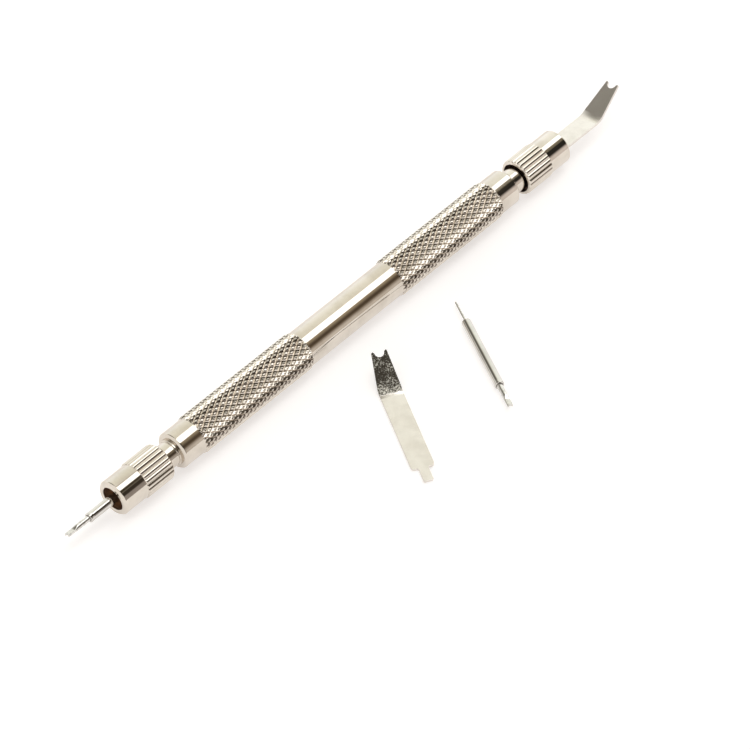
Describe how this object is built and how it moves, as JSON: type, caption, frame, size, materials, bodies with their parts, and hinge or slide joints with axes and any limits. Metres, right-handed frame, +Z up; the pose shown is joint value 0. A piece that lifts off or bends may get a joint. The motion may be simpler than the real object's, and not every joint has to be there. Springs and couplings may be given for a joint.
{
  "type": "spring bar tool",
  "caption": "Knurled metal spring bar tool with a clamp nut at each end, a fine forked pin tip, a wide bent fork blade, and a spare of each tip beside it.",
  "frame": {"origin": "middle of the handle, on the axis of the tool", "axes": "+X along the tool towards the fork blade, -X towards the pin tip, +Z up from the table that the tool lies on, the prongs of the blade bent upwards"},
  "size_m": [0.1415, 0.0385, 0.0079],
  "materials": {
    "nickel_plate": "bright nickel plate over turned steel",
    "sleeve_nickel": "bright nickel-plated drawn tube",
    "collet_brass": "turned, slightly tarnished",
    "pin_steel": "drawn and ground wire",
    "blade_steel": "ground sheet steel, darker rough-ground prongs"
  },
  "bodies": {
    "handle": {"handle": "nickel_plate", "pin_end_neck": "nickel_plate", "blade_end_neck": "nickel_plate"},
    "pin_collet": {"pin_end_collet": "collet_brass"},
    "pin_nut": {"pin_end_nut": "nickel_plate"},
    "pin_tip": {"tip_sleeve": "sleeve_nickel", "tip_fork_pin": "pin_steel", "tip_point_pin": "pin_steel"},
    "blade_collet": {"blade_end_collet": "collet_brass"},
    "blade_nut": {"blade_end_nut": "nickel_plate"},
    "fork_blade": {"fork_blade": "blade_steel"},
    "spare_tip": {"spare_sleeve": "sleeve_nickel", "spare_fork_pin": "pin_steel", "spare_point_pin": "pin_steel"},
    "spare_blade": {"spare_blade": "blade_steel"}
  },
  "joints": [
    {"name": "pin_nut_travel", "type": "slide", "parent": "handle", "child": "pin_collet", "axis": [-1, 0, 0], "range_m": [0, 0.001]},
    {"name": "pin_nut_turn", "type": "hinge", "parent": "pin_collet", "child": "pin_nut", "pos_m": [-0.0517, 0, 0], "axis": [-1, 0, 0], "range_deg": [0, 720]},
    {"name": "pin_tip_pull", "type": "slide", "parent": "pin_collet", "child": "pin_tip", "axis": [-1, 0, 0], "range_m": [0, 0.016]},
    {"name": "blade_nut_travel", "type": "slide", "parent": "handle", "child": "blade_collet", "axis": [1, 0, 0], "range_m": [0, 0.001]},
    {"name": "blade_nut_turn", "type": "hinge", "parent": "blade_collet", "child": "blade_nut", "pos_m": [0.0517, 0, 0], "axis": [1, 0, 0], "range_deg": [0, 720]},
    {"name": "fork_blade_pull", "type": "slide", "parent": "blade_collet", "child": "fork_blade", "axis": [1, 0, 0], "range_m": [0, 0.0125]},
    {"name": "spare_tip_lift", "type": "slide", "parent": "handle", "child": "spare_tip", "axis": [0, 0, 1], "range_m": [0, 0.03]},
    {"name": "spare_blade_lift", "type": "slide", "parent": "handle", "child": "spare_blade", "axis": [0, 0, 1], "range_m": [0, 0.03]}
  ],
  "couplings": [
    {"joint": "pin_nut_turn", "follows": "pin_nut_travel", "rad_per_m": 12566},
    {"joint": "blade_nut_turn", "follows": "blade_nut_travel", "rad_per_m": 12566}
  ]
}
